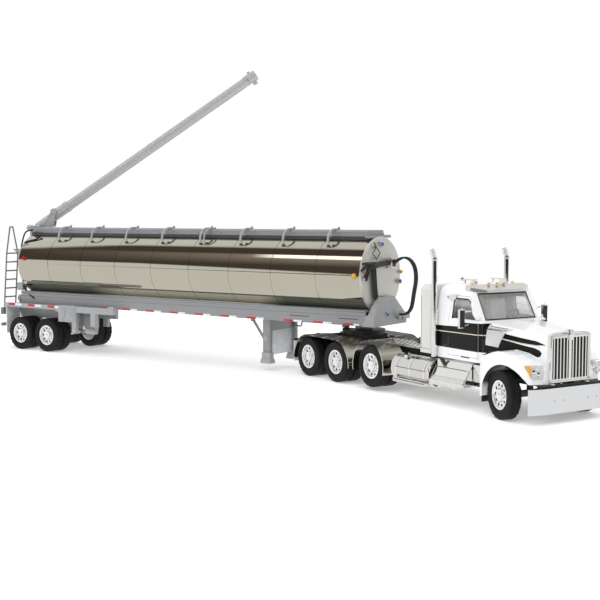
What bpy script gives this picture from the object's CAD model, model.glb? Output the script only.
from math import cos, pi, radians, sin

import bmesh
import bpy
from mathutils import Matrix, Vector


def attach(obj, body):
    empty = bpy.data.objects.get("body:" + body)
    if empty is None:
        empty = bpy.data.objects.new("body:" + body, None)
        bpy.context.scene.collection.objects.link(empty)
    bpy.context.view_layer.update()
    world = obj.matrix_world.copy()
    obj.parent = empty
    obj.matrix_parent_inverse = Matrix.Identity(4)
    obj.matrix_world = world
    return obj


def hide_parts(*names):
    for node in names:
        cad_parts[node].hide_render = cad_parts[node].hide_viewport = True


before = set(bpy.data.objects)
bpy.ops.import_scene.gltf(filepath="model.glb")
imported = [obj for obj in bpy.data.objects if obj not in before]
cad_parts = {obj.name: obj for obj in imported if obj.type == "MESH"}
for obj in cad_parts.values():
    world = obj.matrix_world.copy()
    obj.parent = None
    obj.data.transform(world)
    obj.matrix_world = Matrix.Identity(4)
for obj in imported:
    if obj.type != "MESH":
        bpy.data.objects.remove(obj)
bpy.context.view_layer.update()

# Frames that the pieces are drawn in: millimetres from the kingpin on the ground, as in the part's source
MM = 0.001
ARTICULATION = 23
STEER = 14
SWING = 37
RAISE = 34.8
SET_CENTRE = (-45.828, 3.502)
TOWER_X = -200.5
HINGE_UP = 1.65
# Right and left of the centre line
SIDES = (-1, 1)


def turn(angle, axis):
    return Matrix.Rotation(radians(angle), 4, axis)


def shift(x, y, z):
    return Matrix.Translation((x, y, z))


TRAILER = Matrix.Scale(MM, 4) @ shift(-SET_CENTRE[0], -SET_CENTRE[1], 0)
TRACTOR = TRAILER @ turn(-ARTICULATION, "Z")
TURRET = TRAILER @ shift(TOWER_X, 0, 0) @ turn(SWING, "Z")
BOOM = TURRET @ shift(10.1, 0, 69.25) @ turn(-RAISE, "Y") @ shift(0, 0, -HINGE_UP)


# Camera, at the photograph's place
CAMERA_AT = (238.97, -385.87, 66.8)
CAMERA_AHEAD = (-0.5755, 0.8178)
CAMERA_DIP = 4.38
FOCAL_PIXELS = 1092.8
PICTURE_PIXELS = 600
SENSOR = 36

lens = bpy.data.cameras.new("photo_camera")
lens.sensor_width = SENSOR
lens.lens = SENSOR * FOCAL_PIXELS / PICTURE_PIXELS
lens.clip_start = 0.02
camera = bpy.data.objects.new("photo_camera", lens)
camera.location = TRAILER @ Vector(CAMERA_AT)
ahead = Vector((
    CAMERA_AHEAD[0] * cos(radians(CAMERA_DIP)),
    CAMERA_AHEAD[1] * cos(radians(CAMERA_DIP)),
    -sin(radians(CAMERA_DIP)),
))
camera.rotation_euler = ahead.to_track_quat("-Z", "Y").to_euler()
bpy.context.scene.collection.objects.link(camera)
bpy.context.scene.camera = camera
bpy.context.scene.view_settings.view_transform = "Standard"


class Wire:
    """A node's socket that can be used in sums: 1 - mask adds the Math node for it."""

    def __init__(self, finish, socket):
        self.finish = finish
        self.socket = socket

    def sum_with(self, operation, first, second):
        return self.finish.node("Math", {"operation": operation}, {0: first, 1: second})

    def __add__(self, other):
        return self.sum_with("ADD", self, other)

    def __radd__(self, other):
        return self.sum_with("ADD", other, self)

    def __sub__(self, other):
        return self.sum_with("SUBTRACT", self, other)

    def __rsub__(self, other):
        return self.sum_with("SUBTRACT", other, self)

    def __mul__(self, other):
        return self.sum_with("MULTIPLY", self, other)

    def __rmul__(self, other):
        return self.sum_with("MULTIPLY", other, self)

    def __truediv__(self, other):
        return self.sum_with("DIVIDE", self, other)

    def __abs__(self):
        return self.finish.node("Math", {"operation": "ABSOLUTE"}, {0: self})

    def above(self, limit):
        return self.sum_with("GREATER_THAN", self, limit)

    def below(self, limit):
        return self.sum_with("LESS_THAN", self, limit)

    def smaller(self, other):
        return self.sum_with("MINIMUM", self, other)

    def larger(self, other):
        return self.sum_with("MAXIMUM", self, other)


class Finish:
    """One surface's material, built node by node."""

    def __init__(self, name, holder=None):
        self.material = holder or bpy.data.materials.new(name)
        self.material.use_nodes = True
        self.tree = self.material.node_tree
        self.tree.nodes.clear()

    def feed(self, socket, value):
        if isinstance(value, Wire):
            self.tree.links.new(value.socket, socket)
        else:
            socket.default_value = value

    def node(self, kind, settings=None, inputs=None, out=0):
        made = self.tree.nodes.new("ShaderNode" + kind)
        for key, value in (settings or {}).items():
            if key == "stops":
                ramp = made.color_ramp.elements
                while len(ramp) < len(value):
                    ramp.new(0.5)
                for stop, (place, tone) in zip(ramp, value):
                    stop.position = place
                    stop.color = tone if len(tone) == 4 else (*tone, 1)
            else:
                setattr(made, key, value)
        for key, value in (inputs or {}).items():
            self.feed(made.inputs[key], value)
        return Wire(self, made.outputs[out])

    def place(self):
        return self.node("TexCoord", out="Object")

    def parts(self, vector):
        """The three numbers of a vector."""
        split = self.tree.nodes.new("ShaderNodeSeparateXYZ")
        self.feed(split.inputs[0], vector)
        return [Wire(self, socket) for socket in split.outputs]

    def facing_up(self):
        """How far the surface faces upwards, from -1 to 1."""
        return self.parts(self.node("TexCoord", out="Normal"))[2]

    def rays(self, *names):
        """What kind of ray meets the surface, one number for each name."""
        path = self.tree.nodes.new("ShaderNodeLightPath")
        return [Wire(self, path.outputs[name]) for name in names]

    def noise(self, scale, detail=3, stretch=None):
        spot = self.place()
        if stretch:
            spot = self.node("Mapping", {}, {"Vector": spot, "Scale": stretch})
        return self.node("TexNoise", {}, {"Vector": spot, "Scale": scale, "Detail": detail})

    def ramp(self, value, low, high):
        return self.node("MapRange", {"clamp": True}, {"Value": value, "From Min": low, "From Max": high})

    def mix(self, first, second, share):
        inputs = {0: share, 6: rgba(first), 7: rgba(second)}
        return self.node("Mix", {"data_type": "RGBA"}, inputs, out=2)

    def worn_edge(self, width):
        soft = self.node("Bevel", {"samples": 4}, {"Radius": width})
        hard = self.node("NewGeometry", out="True Normal")
        same = self.node("VectorMath", {"operation": "DOT_PRODUCT"}, {0: soft, 1: hard}, out="Value")
        return self.ramp(1 - same, 0.01, 0.25)

    def bump(self, height, depth, reach=0.0001):
        return self.node("Bump", {}, {"Height": height, "Strength": depth, "Distance": reach})

    def done(self, **inputs):
        named = {key.replace("_", " "): value for key, value in inputs.items()}
        shader = self.node("BsdfPrincipled", {}, named, out="BSDF")
        self.output(shader)
        return self.material

    def output(self, shader, kind="Material"):
        end = self.tree.nodes.new("ShaderNodeOutput" + kind)
        self.tree.links.new(shader.socket, end.inputs["Surface"])


def rgba(colour):
    if isinstance(colour, Wire):
        return colour
    return (*colour, 1)


def shaded(colour, factor):
    return tuple(min(1, part * factor) for part in colour)


# How fine the orange peel of sprayed paint is
PEEL = 5200


def paint(name, colour, roughness, worn, wear=0.4, metallic=0.0, coat=0.0, grain=0.012):
    """Sprayed paint: faint clouding, orange-peel bump and rubbed edges."""
    finish = Finish(name)
    cloud = finish.noise(140, 4)
    peel = finish.noise(PEEL, 2)
    edge = finish.worn_edge(0.00022)
    rubbed = edge * finish.ramp(finish.noise(900, 4), 0.42, 0.62) * wear
    body = finish.mix(shaded(colour, 0.94), shaded(colour, 1.04), cloud)
    return finish.done(
        Base_Color=finish.mix(body, worn, rubbed),
        Roughness=roughness + 0.14 * (cloud - 0.5) + 0.12 * rubbed,
        Metallic=metallic,
        Coat_Weight=coat,
        Coat_Roughness=0.06,
        Normal=finish.bump(peel, grain),
    )


def plated(name, colour, roughness, smear=0.05, ripple=0.03):
    """Bright plating: fine polishing marks and faint smears."""
    finish = Finish(name)
    cloud = finish.noise(220, 4)
    marks = finish.noise(900, 3, (1, 1, 9))
    return finish.done(
        Base_Color=finish.mix(shaded(colour, 0.95), colour, cloud),
        Roughness=roughness + smear * finish.ramp(cloud, 0.45, 0.8) + 0.02 * marks,
        Metallic=1.0,
        Normal=finish.bump(marks, ripple),
    )


def moulded(name, colour, roughness, grain=3800, depth=0.12):
    """Moulded plastic or rubber: a fine grain and faint clouding."""
    finish = Finish(name)
    cloud = finish.noise(260, 4)
    speck = finish.noise(grain, 2)
    return finish.done(
        Base_Color=finish.mix(shaded(colour, 0.8), shaded(colour, 1.25), cloud),
        Roughness=roughness + 0.12 * (cloud - 0.5),
        Normal=finish.bump(speck, depth),
    )


def tank_polish():
    """Rolled and mirror-polished sheet, faintly wavy and smeared."""
    finish = Finish("tank_polish")
    wave = finish.noise(38, 2, (1, 0.5, 0.5))
    lines = finish.noise(420, 3, (0.06, 1, 1))
    smear = finish.ramp(finish.noise(160, 5), 0.5, 0.85)
    return finish.done(
        Base_Color=finish.mix((0.52, 0.5, 0.42), (0.57, 0.545, 0.46), wave),
        Roughness=0.03 + 0.03 * smear + 0.02 * lines,
        Metallic=1.0,
        Normal=finish.bump(wave + 0.05 * lines, 0.05, 0.0002),
    )


DOOR_PANE_OUT = 14.2
DOOR_SMOKE = (0.06, 0.066, 0.058)


def window_pane(name, colour, body):
    """Thin clear windows with faint marks in their gloss, smoke-tinted in the doors."""
    finish = Finish(name)
    mark = finish.noise(600, 3)
    across = abs(tractor_place(finish)[1])
    door = finish.ramp(across, DOOR_PANE_OUT, DOOR_PANE_OUT + 0.2)
    clear = finish.mix(shaded(colour, 0.94), colour, mark)
    return finish.done(
        Base_Color=finish.mix(clear, DOOR_SMOKE, door),
        Roughness=0.03 + 0.05 * finish.ramp(mark, 0.5, 0.8),
        Alpha=body + 0.05 * mark + 0.22 * door,
    )


def clear_pane(name, colour, roughness=0.02, see_through=1.0):
    """Clear moulding, with faint marks in its gloss."""
    finish = Finish(name)
    mark = finish.noise(600, 3)
    return finish.done(
        Base_Color=finish.mix(shaded(colour, 0.96), colour, mark),
        Roughness=roughness + 0.04 * finish.ramp(mark, 0.5, 0.8),
        Transmission_Weight=see_through,
        IOR=1.35,
    )


def tyre_rubber():
    """Matt rubber, paler in patches of dust."""
    finish = Finish("tyre_rubber")
    dust = finish.noise(300, 5)
    speck = finish.noise(3000, 3)
    return finish.done(
        Base_Color=finish.mix((0.007, 0.007, 0.008), (0.019, 0.0185, 0.0185), dust),
        Roughness=0.62 + 0.2 * dust,
        Specular_IOR_Level=0.3,
        Normal=finish.bump(speck, 0.2),
    )


def trailer_place(finish):
    """A surface point in the trailer's millimetres, as one vector."""
    per_metre = 1 / MM
    return finish.node("VectorMath", {"operation": "MULTIPLY_ADD"}, {
        0: finish.place(), 1: (per_metre, per_metre, per_metre), 2: (*SET_CENTRE, 0),
    })


def tractor_place(finish):
    """Position along, across and above the tractor, in millimetres from the kingpin."""
    turned = finish.node("VectorRotate", {"rotation_type": "Z_AXIS"}, {
        "Vector": trailer_place(finish), "Angle": radians(ARTICULATION),
    })
    return finish.parts(turned)


STRIPE_SPAN = (66, 118)
STRIPE_LOW = 18
STRIPE_HIGH = 32
STRIPE_OUT = 8.7
STRIPE_BLACK = (0.008, 0.007, 0.007)
PIN_HALF = 0.17
PIN_CREAM = (0.62, 0.56, 0.42)
HOOD_FROM = 90.5
HOOD_UNDERSIDE = (0.05, 0.05, 0.052)
EDGE_GREY = (0.72, 0.72, 0.71)


def height_line(finish, along, points):
    """A height that follows points of (place, height), as a ramp along the tractor."""
    start, end = STRIPE_SPAN
    share = (along - start) / (end - start)
    stops = []
    for place, height in points:
        tone = (height - STRIPE_LOW) / (STRIPE_HIGH - STRIPE_LOW)
        stops.append(((place - start) / (end - start), (tone, tone, tone)))
    # The ramp's colours are read as plain numbers
    line = finish.node("ValToRGB", {"stops": stops}, {"Fac": share})
    return STRIPE_LOW + (STRIPE_HIGH - STRIPE_LOW) * line


def cab_paint():
    """White gloss paint with the black side stripe, its pale pin line and a dark underside to the hood."""
    finish = Finish("cab_paint")
    along, across, height = tractor_place(finish)
    top = height_line(finish, along, [
        (66, 28.2), (78, 28.6), (82, 30.2), (91, 30.5), (99.5, 27.6), (105, 26.9), (111, 26.3), (114.5, 25.3),
        (118, 20),
    ])
    pin = height_line(finish, along, [
        (66, 26.3), (91, 26.5), (98.6, 25.9), (105.5, 25.05), (111, 24.75), (115, 25.1),
    ])
    low = height_line(finish, along, [
        (66, 20.8), (95.8, 20.6), (100.1, 22.1), (103.8, 22.9), (108.5, 22.1), (111.5, 21), (112.6, 21.2),
        (113.2, 22.4), (118, 27),
    ])
    lower_top = height_line(finish, along, [
        (66, 26.2), (91, 26.4), (98.6, 25.7), (101, 25.35), (105.5, 24.6), (110.5, 23.95), (112.4, 23.3),
        (113.2, 22.5), (118, 18),
    ])
    upper_low = height_line(finish, along, [
        (66, 26.4), (91, 26.6), (98.6, 26), (101, 25.7), (105.5, 25.2), (111, 24.9), (118, 24.8),
    ])
    off_pin = abs(height - pin).above(PIN_HALF)
    lower = height.above(low) * height.below(lower_top)
    upper = height.above(upper_low) * height.below(top)
    outside = abs(across).above(STRIPE_OUT)
    stripe = lower.larger(upper) * off_pin * outside
    cloud = finish.noise(120, 4)
    peel = finish.noise(PEEL, 2)
    edge = finish.worn_edge(0.0002)
    white = finish.mix((0.83, 0.84, 0.855), (0.87, 0.878, 0.89), cloud)
    under = finish.ramp(finish.facing_up(), -0.12, -0.35) * along.above(HOOD_FROM)
    pin_line = (1 - off_pin) * height.above(low) * height.below(top) * outside
    body = finish.mix(finish.mix(white, STRIPE_BLACK, stripe), PIN_CREAM, pin_line * 0.9)
    return finish.done(
        Base_Color=finish.mix(finish.mix(body, EDGE_GREY, edge * 0.3), HOOD_UNDERSIDE, under),
        Roughness=0.24 + 0.08 * (cloud - 0.5),
        Coat_Weight=0.5 * (1 - stripe.larger(under)),
        Coat_Roughness=0.05,
        Specular_IOR_Level=0.2,
        Normal=finish.bump(peel, 0.03),
    )


CROWN_FROM = 13.1
CROWN_TO = 15.4
PUSHER_FENDER_FROM = 20
PUSHER_FENDER_UP = 1.6
FENDER_BRIGHT = (0.6, 0.58, 0.5)
FENDER_DARK = (0.06, 0.057, 0.046)


def fender_plate():
    """Bright plate, dark and dull on the crowns of the fenders."""
    finish = Finish("fender_chrome")
    along, _, height = tractor_place(finish)
    crown = finish.ramp(height - PUSHER_FENDER_UP * along.above(PUSHER_FENDER_FROM), CROWN_FROM, CROWN_TO)
    streak = finish.noise(420, 3, (1, 0.3, 1))
    shade = crown * finish.ramp(streak, 0.1, 0.5)
    return finish.done(
        Base_Color=finish.mix(FENDER_BRIGHT, FENDER_DARK, shade),
        Roughness=0.08 + 0.06 * streak + 0.4 * shade,
        Metallic=1 - 0.85 * shade,
        Specular_IOR_Level=0.3,
        Normal=finish.bump(streak, 0.03),
    )


SHELF_HALF = 12.2
SHELF_PALE = (0.93, 0.92, 0.88)


def frame_paint():
    """Grey paint, pale on the shelf that the tank mirrors along its underside."""
    finish = Finish("frame_grey_paint")
    cloud = finish.noise(140, 4)
    x, y, _ = finish.parts(trailer_place(finish))
    middle = finish.ramp(x, -152, -132) * finish.ramp(x, -34, -48)
    shelf = finish.ramp(finish.facing_up(), 0.4, 0.7) * abs(y).below(SHELF_HALF) * middle
    grey = finish.mix((0.29, 0.302, 0.315), (0.31, 0.322, 0.335), cloud)
    return finish.done(
        Base_Color=finish.mix(grey, SHELF_PALE, shelf),
        Roughness=0.36 + 0.14 * (cloud - 0.5),
        Metallic=0.35 * (1 - shelf),
        Normal=finish.bump(finish.noise(PEEL, 2), 0.012),
    )


TRAILER_GREY = paint("trailer_grey_paint", (0.3, 0.312, 0.325), 0.36, (0.5, 0.5, 0.51), metallic=0.35)
LIGHT_GREY = paint("light_grey_paint", (0.38, 0.388, 0.395), 0.38, (0.6, 0.6, 0.6), metallic=0.2)
HEAD_PAINT = paint("head_paint", (0.60, 0.585, 0.545), 0.3, (0.75, 0.74, 0.7), metallic=0.45)
BOOM_SILVER = paint(
    "boom_silver_paint", (0.5, 0.51, 0.52), 0.36, (0.55, 0.55, 0.55), wear=0.0, metallic=0.35, grain=0.002
)
DARK_METAL = paint("dark_metal_paint", (0.07, 0.072, 0.076), 0.42, (0.3, 0.3, 0.3), metallic=0.3)
MID_METAL = paint("mid_metal_paint", (0.2, 0.205, 0.21), 0.4, (0.45, 0.45, 0.45), metallic=0.4)
CHASSIS_BLACK = paint("chassis_black_paint", (0.014, 0.014, 0.015), 0.38, (0.14, 0.14, 0.14), wear=0.25)
WHITE_PAINT = cab_paint()
CABINET_PAINT = paint("cabinet_paint", (0.66, 0.655, 0.63), 0.34, (0.78, 0.78, 0.76), coat=0.2)
CHROME = plated("chrome_plate", (0.86, 0.86, 0.85), 0.05)
FENDER_CHROME = fender_plate()
RIM_ALLOY = paint("rim_alloy", (0.93, 0.93, 0.94), 0.16, (0.95, 0.95, 0.95), metallic=0.55, coat=0.4)
SATIN_CHROME = plated("satin_chrome", (0.78, 0.78, 0.78), 0.2, smear=0.1)
PANEL_SILVER = paint("panel_silver", (0.72, 0.725, 0.73), 0.3, (0.8, 0.8, 0.8), metallic=0.3)
BUMPER_CHROME = plated("bumper_chrome", (0.8, 0.82, 0.85), 0.05)
FUEL_TANK_CHROME = plated("fuel_tank_chrome", (0.74, 0.735, 0.71), 0.06)
DARK_MIRROR = plated("dark_mirror", (0.2, 0.19, 0.17), 0.04)
VISOR_CHROME = plated("visor_chrome", (0.8, 0.79, 0.76), 0.22)
TANK = tank_polish()
TYRE = tyre_rubber()
GLASS = window_pane("cab_glass_pane", (0.86, 0.88, 0.86), 0.16)
LENS = clear_pane("lamp_lens", (0.96, 0.97, 1.0), see_through=0.75)
AMBER = clear_pane("amber_lens", (0.95, 0.42, 0.04), 0.12, 0.25)
PALE_AMBER = clear_pane("pale_amber_lens", (0.95, 0.6, 0.2), 0.15, 0.2)
RED_LENS = clear_pane("red_lens", (0.6, 0.02, 0.015), 0.12, 0.2)
INTERIOR = moulded("interior_plastic", (0.8, 0.8, 0.77), 0.6)
BLACK_PLASTIC = moulded("black_plastic", (0.016, 0.016, 0.016), 0.45)
HOSE = moulded("hose_rubber", (0.017, 0.017, 0.018), 0.5, 2400)
FLAP = moulded("flap_plastic", (0.66, 0.68, 0.7), 0.5)
PALE_PANEL = moulded("pale_panel", (0.76, 0.78, 0.79), 0.5)
ENGINE = paint("engine_paint", (0.14, 0.145, 0.155), 0.45, (0.4, 0.4, 0.4), metallic=0.3)
TAPE_RED = moulded("tape_red", (0.52, 0.022, 0.018), 0.32, 5000, 0.3)
TAPE_WHITE = moulded("tape_white", (0.72, 0.74, 0.78), 0.32, 5000, 0.3)
BLUE_CAP = moulded("blue_cap", (0.05, 0.09, 0.46), 0.35)
SOFT_GAP = moulded("soft_gap", (0.3, 0.3, 0.3), 0.7)
GROOVE = moulded("panel_gap", (0.05, 0.05, 0.052), 0.7)


def dress(finish, *names):
    """Gives these solids of the part a finish."""
    for name in names:
        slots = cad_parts[name].data.materials
        slots.clear()
        slots.append(finish)


dress(TANK, "tank_barrel")
dress(HEAD_PAINT, "tank_heads")
dress(TRAILER_GREY, "trunk_coaming", "trunk_lid", "landing_legs", "kingpin")
dress(frame_paint(), "trailer_frame")
dress(LIGHT_GREY, "landing_feet", "hatch_hoops", "front_box", "rear_bogie", "discharge_tower")
dress(BOOM_SILVER, "boom_turret", "boom_saddle", "boom_tube", "boom_end")
dress(DARK_METAL, "pusher_carrier", "steer_axle", "knuckle_right", "knuckle_left")
dress(MID_METAL, "rear_ladder", "rear_bumper")
dress(CHASSIS_BLACK, "chassis_frame", "fifth_wheel")
dress(WHITE_PAINT, "cab_shell", "hood_shell")
dress(CABINET_PAINT, "rear_cabinet")
dress(CHROME, "air_horns", "exhaust_stacks", "mirrors", "step_boxes", "grille")
dress(FUEL_TANK_CHROME, "fuel_tanks")
dress(BUMPER_CHROME, "front_bumper")
dress(RIM_ALLOY, "trailer_wheelset_front", "trailer_wheelset_rear", "drive_wheelset_front")
dress(RIM_ALLOY, "drive_wheelset_rear", "pusher_wheelset", "front_rim_right", "front_rim_left")
dress(FENDER_CHROME, "wheel_fenders")
dress(VISOR_CHROME, "sun_visor")
dress(GLASS, "cab_glass")
dress(LENS, "headlamps")
dress(AMBER, "marker_lamps")
dress(INTERIOR, "cab_interior")
dress(BLACK_PLASTIC, "steering_wheel")
dress(FLAP, "trailer_mud_flaps")
dress(ENGINE, "engine")


def rounded_path(points, steps=5):
    """Points along a smooth curve through these points."""
    knots = [Vector(point) for point in points]
    path = []
    for i in range(len(knots) - 1):
        before = knots[max(i - 1, 0)]
        start = knots[i]
        end = knots[i + 1]
        after = knots[min(i + 2, len(knots) - 1)]
        for k in range(steps):
            t = k / steps
            path.append(0.5 * (
                2 * start + (end - before) * t + (2 * before - 5 * start + 4 * end - after) * t * t
                + (3 * start - before - 3 * end + after) * t * t * t
            ))
    path.append(knots[-1])
    return path


# How far the edges of blocks and of thin skins are rounded, and the ways that turned pieces point
SOFT_EDGE = 0.12
SKIN_EDGE = 0.03
AHEAD = (1, 0, 0)
BACK = (-1, 0, 0)
UP = (0, 0, 1)


class Form:
    """Gathers the faces of one piece, in millimetres of the frame that it is drawn in."""

    def __init__(self, place):
        self.place = place
        self.mesh = bmesh.new()

    def block(self, low, high, soft=SOFT_EDGE):
        low = Vector(low)
        high = Vector(high)
        size = high - low
        fit = Matrix.Translation((low + high) / 2) @ Matrix.Diagonal((*size, 1))
        made = bmesh.ops.create_cube(self.mesh, size=1, matrix=fit)["verts"]
        soft = min(soft, 0.3 * min(size))
        if soft > 0.01:
            edges = list({edge for corner in made for edge in corner.link_edges})
            bmesh.ops.bevel(self.mesh, geom=edges, offset=soft, segments=2, profile=0.5, affect="EDGES")

    def side_block(self, side, x, y, z, soft=SOFT_EDGE):
        """A block on one side of the centre line, with y counted outwards; side is -1 to the right."""
        near, far = sorted((side * y[0], side * y[1]))
        self.block((x[0], near, z[0]), (x[1], far, z[1]), soft)

    def lathe(self, profile, centre, axis, sides=32, notch=None):
        """A profile of (radius, station) turned about an axis; notch(i, k) pulls a point inwards."""
        aim = Vector(axis).to_track_quat("Z", "Y").to_matrix().to_4x4()
        aim = Matrix.Translation(centre) @ aim
        rings = []
        for k, (radius, station) in enumerate(profile):
            if radius < 1e-6:
                rings.append([self.mesh.verts.new(aim @ Vector((0, 0, station)))])
                continue
            ring = []
            for i in range(sides):
                reach = radius - (notch(i, k) if notch else 0)
                angle = 2 * pi * i / sides
                spot = Vector((reach * cos(angle), reach * sin(angle), station))
                ring.append(self.mesh.verts.new(aim @ spot))
            rings.append(ring)
        for first, second in zip(rings, rings[1:]):
            for i in range(sides):
                a = first[i % len(first)]
                b = first[(i + 1) % len(first)]
                c = second[(i + 1) % len(second)]
                d = second[i % len(second)]
                corners = list(dict.fromkeys((a, b, c, d)))
                if len(corners) > 2:
                    self.mesh.faces.new(corners)

    def bolt(self, radius, rise, crown, height, spot, axis, sides):
        """A bolt's head: straight up to its rise, then sloped to a flat crown."""
        self.lathe([(radius, 0), (radius, rise), (crown, height), (0, height)], spot, axis, sides)

    def rod(self, start, end, radius, end_radius=None, sides=16, soft=0.0):
        start = Vector(start)
        end = Vector(end)
        far = radius if end_radius is None else end_radius
        length = (end - start).length
        if soft == 0:
            profile = [(0, 0), (radius, 0), (far, length), (0, length)]
        else:
            profile = [
                (0, 0), (radius - soft, 0), (radius, soft),
                (far, length - soft), (far - soft, length), (0, length),
            ]
        self.lathe(profile, start, end - start, sides)

    def ring(self, centre, axis, radius, thick, sides=32, rounds=8):
        """A round bar bent into a full circle."""
        profile = []
        for k in range(rounds + 1):
            angle = 2 * pi * k / rounds
            profile.append((radius + thick * cos(angle), thick * sin(angle)))
        self.lathe(profile, centre, axis, sides)
        bmesh.ops.remove_doubles(self.mesh, verts=self.mesh.verts, dist=1e-4)

    def dome(self, centre, axis, radius, height, sides=20, steps=5):
        profile = []
        for k in range(steps + 1):
            angle = 0.5 * pi * k / steps
            profile.append((radius * cos(angle) if k < steps else 0, height * sin(angle)))
        self.lathe([(0, 0)] + profile, centre, axis, sides)

    def pipe(self, points, radius, sides=10, closed=False):
        """A round bar along these points."""
        path = [Vector(point) for point in points]
        count = len(path)
        side = None
        rings = []
        for i, point in enumerate(path):
            if closed:
                along = path[(i + 1) % count] - path[i - 1]
            else:
                along = path[min(i + 1, count - 1)] - path[max(i - 1, 0)]
            along.normalize()
            if side is None:
                side = along.orthogonal()
            side = (side - along * side.dot(along)).normalized()
            other = along.cross(side)
            ring = []
            for k in range(sides):
                angle = 2 * pi * k / sides
                ring.append(self.mesh.verts.new(point + radius * (cos(angle) * side + sin(angle) * other)))
            rings.append(ring)
        pairs = list(zip(rings, rings[1:]))
        if closed:
            pairs.append((rings[-1], rings[0]))
        for first, second in pairs:
            for k in range(sides):
                nearest = (k + 1) % sides
                self.mesh.faces.new((first[k], first[nearest], second[nearest], second[k]))
        if not closed:
            self.mesh.faces.new(rings[0])
            self.mesh.faces.new(rings[-1])

    def plate(self, outline, axis, low, high, soft=0.0):
        """A flat outline drawn out along X, Y or Z between two stations."""
        spots = {
            "X": lambda a, b, at: (at, a, b),
            "Y": lambda a, b, at: (a, at, b),
            "Z": lambda a, b, at: (a, b, at),
        }
        spot = spots[axis]
        bottom = [self.mesh.verts.new(spot(a, b, low)) for a, b in outline]
        top = [self.mesh.verts.new(spot(a, b, high)) for a, b in outline]
        faces = [self.mesh.faces.new(bottom), self.mesh.faces.new(top)]
        count = len(outline)
        for i in range(count):
            j = (i + 1) % count
            faces.append(self.mesh.faces.new((bottom[i], bottom[j], top[j], top[i])))
        if soft > 0:
            edges = list({edge for face in faces for edge in face.edges})
            bmesh.ops.bevel(self.mesh, geom=edges, offset=soft, segments=2, profile=0.5, affect="EDGES")

    def ball(self, centre, radius, squash=(1, 1, 1), sides=16):
        fit = Matrix.Translation(centre) @ Matrix.Diagonal((*squash, 1))
        bmesh.ops.create_uvsphere(
            self.mesh, u_segments=sides, v_segments=sides // 2, radius=radius, matrix=fit
        )

    def piece(self, name, body, finish, replaces=(), crease=32):
        bmesh.ops.transform(self.mesh, matrix=self.place, verts=self.mesh.verts)
        bmesh.ops.recalc_face_normals(self.mesh, faces=self.mesh.faces)
        mesh = bpy.data.meshes.new(name)
        self.mesh.to_mesh(mesh)
        self.mesh.free()
        mesh.materials.append(finish)
        mesh.shade_smooth()
        mesh.set_sharp_from_angle(angle=radians(crease))
        made = bpy.data.objects.new(name, mesh)
        bpy.context.scene.collection.objects.link(made)
        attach(made, body)
        if replaces:
            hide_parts(*replaces)
        return made


def make_hose(name, route, radius, replaces=()):
    """A free hose along a route of trailer points, held at both its ends."""
    path = rounded_path(route, 4)
    form = Form(TRAILER)
    form.pipe(path, radius, 12)
    made = form.piece(name, "trailer", HOSE, replaces, 60)
    line = [TRAILER @ point for point in path]


HOSE_R = 0.4
HOSE_ROUTE = [
    (11.2, 47.6), (12.6, 48.6), (14.4, 49.6), (16.4, 49.9), (18.4, 49.2), (20, 47.6), (21, 45.4), (21.4, 43),
    (21.4, 40.4), (21, 37.8), (20.5, 35.2), (20.1, 32.6), (19.6, 30.2), (18.8, 28.4), (17.6, 27.2),
    (16.2, 26.6), (14.4, 26.5),
]
HOSE_SIDES = (4.55, 5.5, 6.45)
for number, hose_side in enumerate(HOSE_SIDES):
    make_hose(
        f"coupling_hose_{number}", [(x, hose_side, z) for x, z in HOSE_ROUTE], HOSE_R,
        ("hydraulic_hoses",),
    )
TURRET_HOSE_ROUTE = [
    (-196.6, -4.6, 59.3), (-199, -5.4, 59.6), (-201.4, -6, 58.4), (-202.6, -6.5, 55.4), (-202.8, -7.3, 52),
    (-202.4, -8.1, 48.6), (-201.6, -9, 45), (-200.4, -9.8, 41), (-199.2, -10.4, 37), (-198.2, -10.9, 33.4),
    (-196.9, -11.4, 31), (-194.6, -12, 29.2), (-191, -12.8, 27.3), (-187.4, -13.25, 25.6),
]
make_hose("turret_hose", TURRET_HOSE_ROUTE, HOSE_R)
REAR_CABLE_ROUTE = [
    (-194.2, -6.9, 58.4), (-191.4, -7.6, 58.5), (-188, -8.4, 57.9), (-186.6, -9.3, 56.6),
    (-188.6, -10.3, 55.2), (-191.6, -10.9, 54.6), (-194.2, -11.4, 54), (-195.4, -11.9, 53.4),
]
rear_cable = Form(TRAILER)
rear_cable.pipe(rounded_path(REAR_CABLE_ROUTE, 4), HOSE_R, 10)
rear_cable.piece("rear_cable", "trailer", HOSE, crease=60)

# Wheels
TYRE_R = 8.2
TYRE_W = 4.4
FRONT_TYRE_W = 4.6
RIM_R = 4.9
TRACK = 19
DUAL_GAP = 0.9
TREAD_SIDES = 66
GROOVE_DEPTH = 0.3
LUG_DEPTH = 0.22
WHEEL_NUTS = 10
NUT_RING = 2.3
WHEEL_NUT = [(0.26, -0.2), (0.26, 0.28), (0.15, 0.42), (0, 0.42)]
HAND_RING = 3.42
HAND_HOLE = [(0, -0.2), (0.4, -0.14), (0.5, 0.02), (0.58, 0.02), (0.58, -0.2)]
HUB_CAP = [(1.45, -0.5), (1.45, 0.1), (1.25, 0.25), (0.9, 0.3), (0.8, 0.55), (0.3, 0.75), (0, 0.75)]
RIM_LIP = [(RIM_R - 0.55, -0.3), (RIM_R - 0.3, 0.02), (RIM_R - 0.02, 0.02), (RIM_R - 0.02, -0.35)]


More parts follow.
